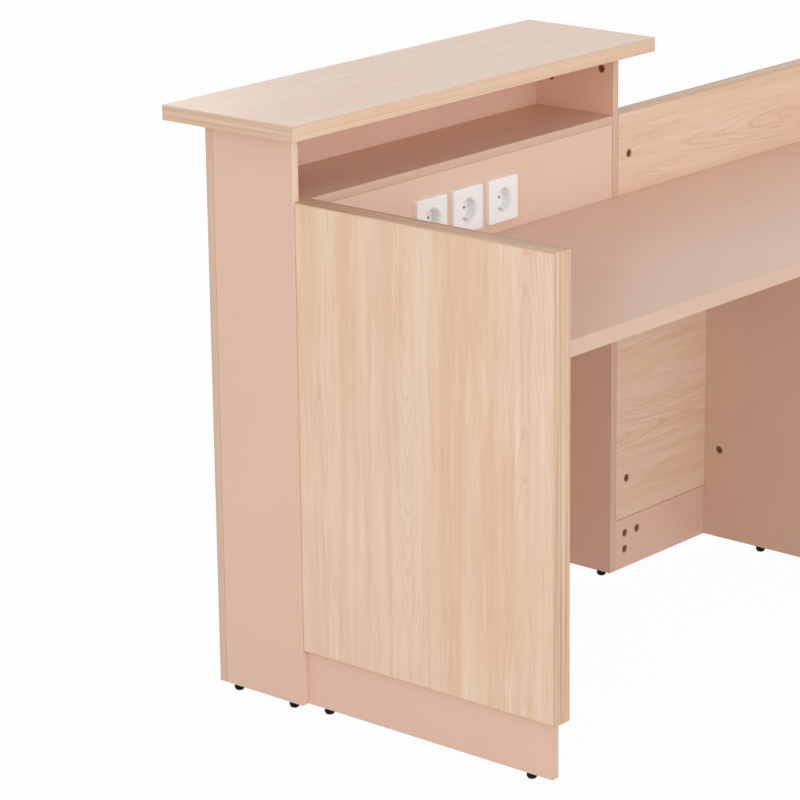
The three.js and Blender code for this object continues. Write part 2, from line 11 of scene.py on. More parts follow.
import bmesh
import bpy
import numpy as np
from bpy.props import FloatProperty, FloatVectorProperty, IntProperty, PointerProperty
from mathutils import Matrix, Vector


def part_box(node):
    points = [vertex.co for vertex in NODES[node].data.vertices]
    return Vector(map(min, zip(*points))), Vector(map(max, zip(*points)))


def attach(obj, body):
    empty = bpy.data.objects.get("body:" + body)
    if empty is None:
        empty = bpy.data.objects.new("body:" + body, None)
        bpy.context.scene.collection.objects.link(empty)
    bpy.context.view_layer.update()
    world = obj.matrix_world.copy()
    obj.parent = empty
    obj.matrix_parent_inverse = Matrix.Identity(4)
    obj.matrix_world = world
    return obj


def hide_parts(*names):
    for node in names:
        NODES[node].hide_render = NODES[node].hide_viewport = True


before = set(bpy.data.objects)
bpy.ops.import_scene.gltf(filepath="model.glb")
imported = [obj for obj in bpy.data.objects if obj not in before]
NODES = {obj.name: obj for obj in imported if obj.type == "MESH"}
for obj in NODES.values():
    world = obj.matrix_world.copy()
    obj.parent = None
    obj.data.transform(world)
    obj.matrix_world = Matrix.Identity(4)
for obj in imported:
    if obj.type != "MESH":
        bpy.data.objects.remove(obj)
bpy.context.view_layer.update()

MM = 0.001

bl_info = {
    "name": "Reception Desk Looks",
    "version": (1, 0, 0),
    "blender": (4, 5, 0),
    "location": "View3D > Sidebar > Desk",
    "description": "Finishes, trim and fittings of a reception desk around its CAD frame",
    "category": "Object",
}


# Settings

def srgb(code):
    """Linear colour of a six-digit display colour code, by the standard transfer curve."""
    levels = np.array([int(code[i:i + 2], 16) for i in (0, 2, 4)]) / 255
    linear = np.where(levels <= 0.04045, levels / 12.92, ((levels + 0.055) / 1.055) ** 2.4)
    return tuple(float(level) for level in linear)


def colour(name, description, code):
    """A colour property whose default is a display colour code."""
    return FloatVectorProperty(name=name, description=description, subtype="COLOR", size=3,
                               min=0, max=1, default=srgb(code))


def length(name, description, millimetres):
    """A length property whose default is given in millimetres."""
    return FloatProperty(name=name, description=description, unit="LENGTH", subtype="DISTANCE",
                         min=0, precision=4, default=millimetres * MM)


def bearing(name, description, degrees):
    """An angle property whose default is given in degrees."""
    return FloatProperty(
        name=name, description=description, subtype="ANGLE", default=math.radians(degrees))


def wattage(name, description, watts):
    """The power of a light."""
    return FloatProperty(name=name, description=description, unit="POWER", default=watts)


class DeskFinishes(bpy.types.PropertyGroup):
    """Colours of the desk's boards, bands and fittings."""

    blush: colour("Blush laminate", "Face of the pink boards", "e0bba6")
    # Painted light: a paler copy of the blush for the tower's front panel and right side, whose
    # faces lie in shade in the niche and under the worktop.
    blush_tower: colour("Blush tower, painted light", "Face of the tower's front and right side", "e8c2ad")
    # Painted light: a paler, less pink copy of the blush on the socket panel, so that it reads as
    # more brightly lit.
    blush_panel_painted_light: colour("Blush panel, painted light", "Face of the socket panel", "e3c5b2")
    blush_band: colour("Blush band", "Edge band of the tower's boards", "d5b49d")
    blush_low_band: colour("Blush low band", "Edge band of the plinths and support", "d4b69f")
    # Painted light: a paler copy of the tower's edge band for the staff edge of the tower's left
    # side, where the light falls full on it.
    staff_band_painted_light: colour("Staff band, painted light", "Edge band of the tower's left side", "e6cbb5")
    worktop_band: colour("Worktop band", "Edge band of the worktop", "d4b49e")
    maple_light: colour("Maple light", "Pale blades of the maple print", "f0dac4")
    maple_mid: colour("Maple honey", "Honey bands of the maple print", "e1bc9c")
    maple_rose: colour("Maple rose", "Rosy bands of the maple print", "e7cab2")
    maple_dark: colour("Maple dark", "Growth rings of the maple print", "c99c75")
    band_light: colour("Band light", "Palest streaks of the maple edge bands", "e0c3a8")
    band_mid: colour("Band middle", "Ground colour of the maple edge bands", "d5b396")
    band_dark: colour("Band dark", "Dark lines of the maple edge bands", "b88f6d")
    socket: colour("Socket white", "Moulded plastic of the wall sockets", "f6f7f8")
    clip: colour("Clip nickel", "Earth clips of the wall sockets", "dedbd4")
    # Partly painted shade: the contact sleeves are real, but their near-black colour stands for the
    # deep shade inside the pin holes.
    contact: colour("Contact sleeve, painted shade", "Dark sleeves behind the pin holes", "14110f")
    foot: colour("Foot black", "Moulded plastic of the levelling feet", "09090a")
    # Painted shade and painted reflection: the cams are coloured dark brown, not zinc grey, for the
    # shade in their bores and the pink boards they mirror.
    zinc: colour("Cam brown, painted shade", "Cast metal of the cam fittings", "8a5a40")
    steel: colour("Plated steel", "Cam bolts and screws", "c4c2bd")
    wall_box: colour("Wall box grey", "Plastic of the boxes behind the sockets", "585a5d")
    powder: colour("Powder coat", "Brackets under the worktop", "8f9194")


class DeskTrim(bpy.types.PropertyGroup):
    """Sizes of the eased edges, trim and mouldings."""

    board_ease: length("Board easing", "Rounding of the laminate boards' edges", 0.7)
    fitting_ease: length("Fitting easing", "Rounding of the metal fittings' edges", 0.3)
    band_proud: length("Band proud", "How far a thin edge band stands off its board", 0.25)
    band_sunk: length("Band sunk", "How far a thin edge band goes into its board", 0.5)
    band_round: length("Band rounding", "Corner rounding of a thin edge band", 0.35)
    cover_ease: length("Cover easing", "Rounding of the socket cover's front edge", 2.0)
    pin_bore: length("Pin bore", "Diameter of a socket's pin holes", 5.0)
    pin_spacing: length("Pin spacing", "Distance between a socket's pin holes", 19.0)
    clip_width: length("Clip width", "Width of an earth clip", 6.0)
    clip_gauge: length("Clip gauge", "Sheet thickness of an earth clip", 0.8)
    thread_pitch: length("Thread pitch", "Pitch of a foot's screw thread", 1.25)
    thread_depth: length("Thread depth", "Depth of a foot's screw thread", 0.55)
    screw_head: length("Screw head", "Diameter of a bracket screw's head", 8.0)
    around: IntProperty(
        name="Round steps", description="Steps around a foot's pad", default=48, min=12)


class DeskStage(bpy.types.PropertyGroup):
    """Camera, floor and lights."""

    camera_place: FloatVectorProperty(
        name="Camera place", description="Where the camera stands", subtype="TRANSLATION",
        unit="LENGTH", size=3, default=(-4.9092, -3.5742, 2.2074))
    heading: bearing("Heading", "Turn from +Y towards +X", 49.091)
    pitch: bearing("Pitch", "Look down from level", 16.754)
    roll: bearing("Roll", "Turn about the line of sight", -0.693)
    lens: FloatProperty(
        name="Lens", description="Focal length in millimetres on a 36 mm sensor", default=154.27)
    floor: colour("Floor", "Colour of the studio floor", "d0d0d0")
    floor_glow: FloatProperty(
        name="Floor white", description="Share of plain white in what the camera sees of the floor",
        subtype="FACTOR", min=0, max=1, default=0.968)
    floor_drop: length("Floor drop", "How far the floor lies below the feet at rest", 10.0)
    ambient: FloatProperty(
        name="Ambient", description="Strength of the all-round light", default=0.67)
    left_power: wattage("Left softbox", "Power of the light on the tower's end", 157)
    staff_power: wattage("Staff softbox", "Power of the light on the staff side", 300)
    corner_power: wattage("Corner softbox", "Power of the low light from the camera's side", 48)
    rear_power: wattage("Rear softbox", "Power of the light on the counter from behind", 47)
    sheen_power: wattage("Sheen softbox", "Power of the far light that the counter mirrors", 30)


# Shader building blocks

class Field:
    """A number that varies over a surface; arithmetic on it adds maths nodes to its tree."""

    def __init__(self, tree, socket):
        self.tree = tree
        self.socket = socket

    def apply(self, operation, *others):
        """The result of a maths node on this field and other fields or numbers."""
        node = self.tree.nodes.new("ShaderNodeMath")
        node.operation = operation
        for socket, value in zip(node.inputs, (self, *others)):
            feed(self.tree, socket, value)
        return Field(self.tree, node.outputs[0])

    def __add__(self, other):
        return self.apply("ADD", other)

    def __sub__(self, other):
        return self.apply("SUBTRACT", other)

    def __mul__(self, other):
        return self.apply("MULTIPLY", other)

    def smooth(self, low, high):
        """Goes from 0 at low to 1 at high along a smooth step."""
        node = self.tree.nodes.new("ShaderNodeMapRange")
        node.interpolation_type = "SMOOTHSTEP"
        for name, value in (("Value", self), ("From Min", low), ("From Max", high)):
            feed(self.tree, node.inputs[name], value)
        return Field(self.tree, node.outputs["Result"])


def feed(tree, socket, value):
    """Links a field or a socket to an input, or sets the input's own value."""
    if isinstance(value, Field):
        tree.links.new(value.socket, socket)
    elif isinstance(value, bpy.types.NodeSocket):
        tree.links.new(value, socket)
    else:
        socket.default_value = value


def new_finish(name, **values):
    """A material with one principled shader whose constant values are set on its own sockets."""
    material = bpy.data.materials.new(name)
    material.use_nodes = True
    shader = material.node_tree.nodes["Principled BSDF"]
    for socket, value in values.items():
        shader.inputs[socket.replace("_", " ")].default_value = value
    return material, material.node_tree, shader


def opaque(rgb):
    """A colour with full alpha."""
    return (*rgb, 1.0)


def shade(rgb, factor):
    """A colour with its levels multiplied, none above 1."""
    return tuple(min(1.0, level * factor) for level in rgb)


def object_axes(tree):
    """The three object coordinates, in metres, as fields."""
    place = tree.nodes.new("ShaderNodeTexCoord")
    split = tree.nodes.new("ShaderNodeSeparateXYZ")
    tree.links.new(place.outputs["Object"], split.inputs[0])
    return [Field(tree, split.outputs[i]) for i in range(3)]


def noise(tree, x, y, z, detail, roughness=0.5):
    """Smooth noise between 0 and 1 at a point given by three fields or numbers."""
    point = tree.nodes.new("ShaderNodeCombineXYZ")
    for socket, value in zip(point.inputs, (x, y, z)):
        feed(tree, socket, value)
    node = tree.nodes.new("ShaderNodeTexNoise")
    tree.links.new(point.outputs[0], node.inputs["Vector"])
    for name, value in (("Scale", 1.0), ("Detail", detail), ("Roughness", roughness)):
        node.inputs[name].default_value = value
    return Field(tree, node.outputs[0])


def speckle(tree, grain, detail, roughness=0.5):
    """Noise that is alike along all three axes, with grain as its repeats in a metre."""
    x, y, z = object_axes(tree)
    return noise(tree, x * grain, y * grain, z * grain, detail, roughness)


def ramp(tree, field, stops):
    """Colours along a field: stops are pairs of a place from 0 to 1 and a colour."""
    node = tree.nodes.new("ShaderNodeValToRGB")
    elements = node.color_ramp.elements
    while len(elements) < len(stops):
        elements.new(0.5)
    for element, (place, rgb) in zip(elements, stops):
        element.position = place
        element.color = opaque(rgb)
    feed(tree, node.inputs[0], field)
    return node.outputs["Color"]


def mottled(tree, field, rgb, start, low, high):
    """A colour times low where a field is at start, rising to times high at 1 - start."""
    return ramp(tree, field, ((start, shade(rgb, low)), (1 - start, shade(rgb, high))))


def blend_colours(tree, share, first, second):
    """The first colour, with a share of the second mixed in."""
    node = tree.nodes.new("ShaderNodeMix")
    node.data_type = "RGBA"
    for name, value in (("Factor_Float", share), ("A_Color", first), ("B_Color", second)):
        socket = next(s for s in node.inputs if s.identifier == name)
        feed(tree, socket, value)
    return next(s for s in node.outputs if s.identifier == "Result_Color")


def finish_surface(tree, shader, tint, gloss, roughness, swing):
    """Gives a shader its colour, and a roughness that a gloss field swings about its middle."""
    feed(tree, shader.inputs["Base Color"], tint)
    feed(tree, shader.inputs["Roughness"], gloss * swing + (roughness - swing / 2))


def add_bump(tree, shader, height, distance):
    """Raises the surface by a height field; distance is the height of a full step."""
    node = tree.nodes.new("ShaderNodeBump")
    node.inputs["Distance"].default_value = distance
    feed(tree, node.inputs["Height"], height)
    tree.links.new(node.outputs["Normal"], shader.inputs["Normal"])


# Rims of the edge bands

ACROSS = "across"
RIM_WIDTH = 1.4 * MM
RIM_CORE = 0.25 * RIM_WIDTH
STRIP_RIM = (0.82, 0.97)
RIM_SHADE = 0.55
DEEP_RIM = 0.4
FAINT_RIM = 0.12


def rim_of(board, axis):
    """The rim of a board's edge band, where axis is the one through the board's thickness.

    It is 1 at the band's low and high ends on that axis and 0 further in.
    """
    low, high = (corner[axis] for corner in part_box(f"{board}_edge_band"))

    def rim(tree):
        place = object_axes(tree)[axis]
        inside = (place - low).apply("MINIMUM", place * -1.0 + high)
        return inside.smooth(RIM_WIDTH, RIM_CORE)
    return rim


def strip_rim(tree):
    """A rim along a thin band's edges, from its attribute that runs from -1 to 1 across it."""
    across = tree.nodes.new("ShaderNodeAttribute")
    across.attribute_name = ACROSS
    return Field(tree, across.outputs["Fac"]).apply("ABSOLUTE").smooth(*STRIP_RIM)


# Laminates, with each grain as its repeats in a metre

CLOUD_GRAIN = 7.0
PEARL_GRAIN = 1500.0


def blush_laminate(name, rgb, roughness, seed, rim=None, rim_depth=DEEP_RIM):
    """Pink satin melamine: a faint cloud in the colour and a fine pearl texture.

    A band also has a rim, whose darkening is rim_depth.
    """
    material, tree, shader = new_finish(name)
    x, y, z = object_axes(tree)
    cloud = noise(tree, x * CLOUD_GRAIN + seed, y * CLOUD_GRAIN, z * CLOUD_GRAIN, detail=4.0)
    pearl = noise(tree, x * PEARL_GRAIN, y * PEARL_GRAIN, z * PEARL_GRAIN + seed, detail=2.0)
    tint = mottled(tree, cloud, rgb, 0.3, 0.985, 1.015)
    if rim:
        tint = blend_colours(tree, rim(tree) * rim_depth, tint, opaque(shade(rgb, RIM_SHADE)))
    finish_surface(tree, shader, tint, pearl, roughness, 0.08)
    add_bump(tree, shader, pearl, 0.03 * MM)
    return material


# Maple print, with each grain as its repeats in a metre across and along the fibres

SWAY_GRAIN = (7.0, 2.6)
SWAY = 16 * MM
HONEY_GRAIN = (21.0, 0.8)
HONEY_STEP = (0.37, 0.64)
STREAK_GRAIN = (85.0, 4.5)
FIBRE_GRAIN = (480.0, 14.0)
FLECK_GRAIN = (1600.0, 60.0)
BLADE_GRAIN = (75.0, 4.0)
BLADE_STEP = (0.54, 0.74)
BLADE_DEPTH = 0.55
PALE_STEP = (0.48, 0.7)
PALE_DEPTH = 0.42
SHADOW_STEP = (0.53, 0.28)
SHADOW_DEPTH = 0.48
PATCH_GRAIN = (12.0, 4.0)
PATCH_STEP = (0.36, 0.58)
RIPPLE_GRAIN = (45.0, 10.0)
RING_RIPPLE = 1.2
RING_SPACING = 7.5 * MM
RING_LINE = 0.34
RING_FADE = 0.35

Cathedral = namedtuple("Cathedral", "place level taper roundness half_width")


def maple_print(name, along, across, finishes, seed, cathedrals, ring_depth=0.28,
                gloss=(0.42, 0.5), tint=(1.0, 1.0, 1.0), streak_depth=1.0, honey_depth=1.0):
    """Maple print: honey and rosy bands, fine streaks and pale blades along the grain.

    along and across are axis numbers. A cathedral is a cut through cone-shaped growth rings, with
    its place across the grain and its level along it. Its rings are level lines of
    sqrt(du^2 + roundness^2) + taper * dv, so they nest as arches along the grain, each drawn as a
    thin dark line. gloss is the roughness and the specular level, and tint multiplies the colours.
    honey_depth is the contrast of the honey bands, streak_depth that of what is finer.
    """
    roughness, specular = gloss
    light, mid, rose, dark = (
        opaque(np.array(rgb) * tint)
        for rgb in (finishes.maple_light, finishes.maple_mid, finishes.maple_rose,
                    finishes.maple_dark))
    material, tree, shader = new_finish(name, Specular_IOR_Level=specular)
    axes = object_axes(tree)
    v = axes[along]
    sway = noise(tree, axes[across] * SWAY_GRAIN[0], v * SWAY_GRAIN[1], seed, detail=2.0)
    u = axes[across] + sway * SWAY

    def layer(number, grain, detail, fineness=0.5):
        return noise(tree, u * grain[0], v * grain[1], seed + number, detail, fineness)

    honey = layer(1.0, HONEY_GRAIN, 3.0, 0.55).smooth(*HONEY_STEP)
    streaks = layer(2.0, STREAK_GRAIN, 4.0, 0.65)
    fibres = layer(3.0, FIBRE_GRAIN, 3.0, 0.6)
    flecks = layer(4.0, FLECK_GRAIN, 2.0)
    blades = layer(5.0, BLADE_GRAIN, 3.0).smooth(*BLADE_STEP)
    ripple = layer(6.0, RIPPLE_GRAIN, 3.0)
    patch = layer(7.0, PATCH_GRAIN, 1.0).smooth(*PATCH_STEP)
    fine = streaks * 0.5 + fibres * 0.3 + flecks * 0.2

    shadow = fine.smooth(*SHADOW_STEP) * (SHADOW_DEPTH * streak_depth)
    for arch in cathedrals:
        du = u - arch.place
        bend = (du * du + arch.roundness ** 2).apply("SQRT")
        radius = bend + (v - arch.level) * arch.taper
        ring = (radius * (1 / RING_SPACING) + ripple * RING_RIPPLE).apply("FRACT")
        fade = du.apply("ABSOLUTE").smooth(arch.half_width, arch.half_width * RING_FADE) * patch
        shadow = shadow + ring.smooth(RING_LINE, 0.0) * fade * ring_depth
    ground = blend_colours(tree, honey * honey_depth, rose, mid)
    paleness = fine.smooth(*PALE_STEP) * PALE_DEPTH + blades * BLADE_DEPTH
    paled = blend_colours(tree, paleness * streak_depth, ground, light)
    finish_surface(tree, shader, blend_colours(tree, shadow, paled, dark), fibres, roughness, 0.12)
    add_bump(tree, shader, streaks * 0.5 + fibres * 0.5, 0.04 * MM)
    return material


BAND_LINES = (260.0, 1.5)
BAND_CLOUDS = (110.0, 2.5)
BAND_RIM = -0.05
PLAIN_TONE = 0.5
SIDE_STEP = (0.4, 0.6)


def maple_band(name, finishes, seed, run_axes, rim, painted_side_shading):
    """Maple edge band: a few long lines along each side, whichever way it faces, and a dark rim.

    run_axes gives, for sides that face X, Y and Z, the axis along which the lines run, or None
    for a plain side, and painted_side_shading what is added to the tone there: painted shade
    or painted light, so that a side is darker or lighter by the way it faces.
    """
    material, tree, shader = new_finish(name)
    axes = object_axes(tree)
    facing = tree.nodes.new("ShaderNodeNewGeometry")
    split = tree.nodes.new("ShaderNodeSeparateXYZ")
    tree.links.new(facing.outputs["True Normal"], split.inputs[0])
    tone = rim(tree) * BAND_RIM
    # Each side's tone gets painted_side_shading: painted shade or painted light by the way the side
    # faces.
    for normal_axis, run in enumerate(run_axes):
        seen = Field(tree, split.outputs[normal_axis]).apply("ABSOLUTE").smooth(*SIDE_STEP)
        if run is None:
            tone = tone + seen * (PLAIN_TONE + painted_side_shading[normal_axis])
            continue
        cross = 3 - normal_axis - run
        lines = noise(tree, axes[cross] * BAND_LINES[0], axes[run] * BAND_LINES[1],
                      seed + normal_axis, detail=3.0)
        clouds = noise(tree, axes[cross] * BAND_CLOUDS[0], axes[run] * BAND_CLOUDS[1],
                       seed + 5.0 + normal_axis, detail=2.0)
        tone = tone + (lines * 0.7 + clouds * 0.3 + painted_side_shading[normal_axis]) * seen
    tint = ramp(tree, tone, ((0.3, finishes.band_dark), (0.46, finishes.band_mid),
                             (0.66, finishes.band_light)))
    finish_surface(tree, shader, tint, tone, 0.42, 0.1)
    add_bump(tree, shader, tone, 0.03 * MM)
    return material


# Plastic and metal

def moulded_plastic(name, rgb, roughness, grain, coat=0.0, specular=0.5):
    """Moulded plastic: an even colour with a fine spark-eroded grain in its gloss."""
    material, tree, shader = new_finish(
        name, Specular_IOR_Level=specular, Coat_Weight=coat, Coat_Roughness=0.12)
    speck = speckle(tree, grain, detail=2.0)
    finish_surface(tree, shader, mottled(tree, speck, rgb, 0.3, 0.97, 1.02), speck, roughness, 0.1)
    add_bump(tree, shader, speck, 0.02 * MM)
    return material


def bare_metal(name, rgb, roughness, grain, metallic=1.0):
    """Cast or plated metal: mottled colour and roughness."""
    material, tree, shader = new_finish(name, Metallic=metallic)
    mottle = speckle(tree, grain, detail=4.0, roughness=0.6)
    finish_surface(
        tree, shader, mottled(tree, mottle, rgb, 0.25, 0.7, 1.15), mottle, roughness, 0.2)
    add_bump(tree, shader, mottle, 0.04 * MM)
    return material


# Surfaces from arrays

SHARP_ANGLE = math.radians(38)
SAME_POINT = 1e-6
CORNER_STEPS = 4
END_STEPS = np.array([0, 0.3, 1])


def grid_faces(rows, columns):
    """Quads between neighbouring rows of a grid of points, its last column joined to the first."""
    index = np.arange(rows * columns).reshape(rows, columns)
    ahead = np.roll(index, -1, axis=1)
    quads = np.stack([index[:-1], ahead[:-1], ahead[1:], index[1:]], axis=-1)
    return quads.reshape(-1, 4).tolist()


def open_tube(points):
    """Vertices and faces of a grid of rings, with its ends left as they are."""
    return points.reshape(-1, 3), grid_faces(*points.shape[:2])


def capped_tube(points):
    """Vertices and faces of a closed tube: a grid of rings, each end closed by one face."""
    rows, columns, _ = points.shape
    vertices, faces = open_tube(points)
    faces.append(list(range(columns))[::-1])
    faces.append(list(range((rows - 1) * columns, rows * columns)))
    return vertices, faces


def join_shells(shells):
    """One vertex array and one face list from several."""
    vertices, faces, start = [], [], 0
    for points, polygons in shells:
        vertices.append(points)
        faces.extend([[start + corner for corner in polygon] for polygon in polygons])
        start += len(points)
    return np.concatenate(vertices), faces


def add_piece(name, shell, material, body="desk"):
    """A new piece of the desk from vertices and faces, facing outwards and riding on a body."""
    vertices, faces = shell
    mesh = bpy.data.meshes.new(name)
    mesh.from_pydata(vertices.tolist(), [], faces)
    work = bmesh.new()
    work.from_mesh(mesh)
    bmesh.ops.remove_doubles(work, verts=work.verts, dist=SAME_POINT)
    bmesh.ops.recalc_face_normals(work, faces=work.faces)
    work.to_mesh(mesh)
    work.free()
    mesh.materials.append(material)
    mesh.shade_smooth()
    mesh.set_sharp_from_angle(angle=SHARP_ANGLE)
    piece = bpy.data.objects.new(name, mesh)
    bpy.context.scene.collection.objects.link(piece)
    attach(piece, body)
    return piece


def turned(profile, around):
    """Surface of revolution about +Z: a profile of (radius, height) carried round the axis."""
    angle = np.linspace(0, 2 * math.pi, around, endpoint=False)
    radius, height = np.asarray(profile, float).T
    ring = np.stack([np.cos(angle), np.sin(angle)], axis=-1)
    flat = radius[:, None, None] * ring[None]
    tall = np.broadcast_to(height[:, None, None], (*flat.shape[:2], 1))
    return np.concatenate([flat, tall], axis=-1)


def arc(centre, radius, start, end, steps):
    """Points of a circular arc from one angle to another, in degrees."""
    angle = np.radians(np.linspace(start, end, steps))
    return np.stack([centre[0] + radius * np.cos(angle), centre[1] + radius * np.sin(angle)],
                    axis=-1)


def rounded_bar(low, high, run, rounding):
    """A bar between two corners: a round-cornered rectangle carried along the run axis.

    The rectangle shrinks by the rounding at both ends, so the bar's ends are eased too.
    """
    low, high = np.asarray(low, float), np.asarray(high, float)
    first, second = [axis for axis in range(3) if axis != run]
    half = (high - low)[[first, second]] / 2 - rounding
    quarters = ((0, (1, 1)), (90, (-1, 1)), (180, (-1, -1)), (270, (1, -1)))
    profile = np.concatenate([
        arc((x * half[0], y * half[1]), rounding, turn, turn + 90, CORNER_STEPS)
        for turn, (x, y) in quarters])
    reach = END_STEPS * rounding
    inset = np.concatenate([reach, reach[::-1]]) - rounding
    shrink = 1 + inset / (half.min() + rounding)
    along = np.concatenate([low[run] + reach, high[run] - reach[::-1]])
    points = np.empty((len(along), len(profile), 3))
    middle = (low + high) / 2
    points[..., first] = middle[first] + shrink[:, None] * profile[None, :, 0]
    points[..., second] = middle[second] + shrink[:, None] * profile[None, :, 1]
    points[..., run] = along[:, None]
    return capped_tube(points)


# CAD nodes that keep their shape

WELD_DISTANCE = 0.01 * MM
EASED_ANGLE = math.radians(40)


def dress(node, material, ease=0.0):
    """Gives a CAD node its finish, and eases its edges by modifiers."""
    piece = NODES[node]
    piece.data.materials.clear()
    piece.data.materials.append(material)
    if ease > 0:
        weld = piece.modifiers.new("join_triangles", "WELD")
        weld.merge_threshold = WELD_DISTANCE
        bevel = piece.modifiers.new("ease_edges", "BEVEL")
        bevel.width = ease
        bevel.segments = 2
        bevel.limit_method = "ANGLE"
        bevel.angle_limit = EASED_ANGLE
        bevel.use_clamp_overlap = True


def finish_pink_boards(finishes, trim):
    """Pink laminate on the tower, the worktop, the plinths and the support."""
    blush = blush_laminate("blush_laminate", finishes.blush, 0.42, 0.0)
    # Painted light: the tower's front panel and right side take the paler blush_tower copy, which
    # lightens their shaded faces.
    tower = blush_laminate("blush_tower", finishes.blush_tower, 0.42, 2.0)
    # Painted light: the socket panel takes its paler copy of the blush.
    panel = blush_laminate("blush_socket_panel", finishes.blush_panel_painted_light, 0.42, 1.0)
    for node in ("tower_left_side", "niche_shelf", "left_gable_plinth", "right_gable_plinth",
                 "front_plinth", "middle_support"):
        dress(node, blush, trim.board_ease)
    for node in ("tower_right_side", "tower_front_panel"):
        dress(node, tower, trim.board_ease)
    dress("socket_panel", panel, trim.board_ease)
    dress("worktop", blush_laminate("blush_worktop", finishes.blush, 0.36, 3.0))
    dress("worktop_edge_band", blush_laminate(
        "blush_worktop_band", finishes.worktop_band, 0.4, 6.0, rim_of("worktop", 2), FAINT_RIM))


def finish_gable(finishes, side, seed):
    """Maple with upright grain on a gable, and its band, whose top and, a little, its upright edges
    are darkened as painted shade.
    """
    low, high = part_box(f"{side}_gable")
    depth = high.y - low.y
    arches = (Cathedral(high.y - 0.07 * depth, low.z, 0.06, 12 * MM, 65 * MM),
              Cathedral(high.y - 0.42 * depth, low.z, -0.15, 10 * MM, 75 * MM),
              Cathedral(high.y - 0.88 * depth, low.z, 0.10, 15 * MM, 100 * MM))
    dress(f"{side}_gable", maple_print(
        f"maple_{side}_gable", 2, 1, finishes, seed, arches, streak_depth=0.82))
    # Painted shade: the band's top is darker by 0.1 in tone and its upright edges by 0.04.
    dress(f"{side}_gable_edge_band", maple_band(
        f"maple_{side}_gable_band", finishes, 5.0, (None, 2, 1), rim_of(f"{side}_gable", 0),
        (0.0, -0.04, -0.1)))


def finish_front(finishes):
    """Maple with level grain on the front panel, and its band, whose top side is darkened as
    painted shade.
    """
    low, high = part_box("front_panel")
    tall = high.z - low.z
    arches = (Cathedral(low.z + 0.90 * tall, low.x, -0.075, 12 * MM, 90 * MM),
              Cathedral(low.z + 0.61 * tall, low.x, -0.067, 12 * MM, 100 * MM),
              Cathedral(low.z + 0.22 * tall, low.x, 0.080, 15 * MM, 90 * MM))
    dress("front_panel", maple_print(
        "maple_front_panel", 0, 2, finishes, 37.0, arches, ring_depth=0.38,
        tint=(0.98, 1.0, 1.01), honey_depth=0.7))
    # Painted shade: the band's top side is darker by 0.1 in tone.
    dress("front_panel_edge_band", maple_band(
        "maple_front_band", finishes, 9.0, (2, None, 0), rim_of("front_panel", 1),
        (0.0, 0.0, -0.1)))


def finish_counter(finishes):
    """Even, glossier maple with its grain along the counter, and its band, whose long sides are
    lightened as painted light.
    """
    low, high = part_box("counter_top")
    arches = (Cathedral((low.y + high.y) / 2, low.x, 0.09, 15 * MM, 80 * MM),)
    dress("counter_top", maple_print(
        "maple_counter", 0, 1, finishes, 47.0, arches, ring_depth=0.1, gloss=(0.3, 0.65),
        tint=(1.0, 0.975, 0.975), streak_depth=0.7, honey_depth=0.4))
    # Painted light: the band's long Y-facing sides are lighter by 0.1 in tone than its ends.
    dress("counter_top_edge_band", maple_band(
        "maple_counter_band", finishes, 19.0, (1, 0, None), rim_of("counter_top", 2),
        (0.0, 0.1, 0.0)))


class DESK_OT_boards(bpy.types.Operator):
    """Finish the laminate boards and their CAD edge bands"""

    bl_idname = "desk.boards"
    bl_label = "Boards"

    def execute(self, context):
        finishes, trim = context.scene.desk_finishes, context.scene.desk_trim
        finish_pink_boards(finishes, trim)
        finish_gable(finishes, "left", 2.0)
        finish_gable(finishes, "right", 13.0)
        finish_front(finishes)
        finish_counter(finishes)
        return {"FINISHED"}


# Thin edge bands

TOWER_BOARDS = ("tower_left_side", "tower_right_side", "tower_front_panel", "niche_shelf")

# Each open edge is a board, the axis it faces, which way along it, and the axis the band runs along
OPEN_EDGES = (
    ("tower_left_side", 1, -1, 2),
    ("tower_right_side", 1, -1, 2),
    ("tower_front_panel", 0, -1, 2),
    ("tower_front_panel", 0, 1, 2),
    ("niche_shelf", 1, -1, 0),
    ("middle_support", 1, -1, 2),
    ("left_gable_plinth", 1, -1, 2),
    ("right_gable_plinth", 1, -1, 2),
    ("front_plinth", 0, 1, 2),
)


def mark_across(strip, axis):
    """Stores where each vertex lies across a thin band, from -1 to 1 along an axis."""
    places = np.empty(3 * len(strip.data.vertices))
    strip.data.vertices.foreach_get("co", places)
    across = places.reshape(-1, 3)[:, axis]
    middle, half = (across.max() + across.min()) / 2, (across.max() - across.min()) / 2
    attribute = strip.data.attributes.new(ACROSS, "FLOAT", "POINT")
    attribute.data.foreach_set("value", (across - middle) / half)


class DESK_OT_thin_bands(bpy.types.Operator):
    """Glue thin edge bands on the open edges of the pink boards"""

    bl_idname = "desk.thin_bands"
    bl_label = "Thin edge bands"

    def execute(self, context):
        finishes, trim = context.scene.desk_finishes, context.scene.desk_trim
        tower_band = blush_laminate("blush_tower_band", finishes.blush_band, 0.38, 9.0, strip_rim)
        bands = dict.fromkeys(TOWER_BOARDS, tower_band)
        # Painted light: the left side's staff edge takes a paler copy of the tower's band.
        bands["tower_left_side"] = blush_laminate(
            "staff_band_painted_light", finishes.staff_band_painted_light, 0.38, 10.0, strip_rim)
        low_band = blush_laminate(
            "blush_low_band", finishes.blush_low_band, 0.4, 12.0, strip_rim, FAINT_RIM)
        for node, facing, way, run in OPEN_EDGES:
            low, high = (np.array(corner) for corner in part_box(node))
            if way < 0:
                high[facing] = low[facing] + trim.band_sunk
                low[facing] -= trim.band_proud
                end = "staff" if facing == 1 else "left"
            else:
                low[facing] = high[facing] - trim.band_sunk
                high[facing] += trim.band_proud
                end = "right"
            strip = add_piece(f"{node}_{end}_band", rounded_bar(low, high, run, trim.band_round),
                              bands.get(node, low_band))
            mark_across(strip, 3 - facing - run)
        return {"FINISHED"}


# Wall sockets, worked out with depth into the panel along +Y

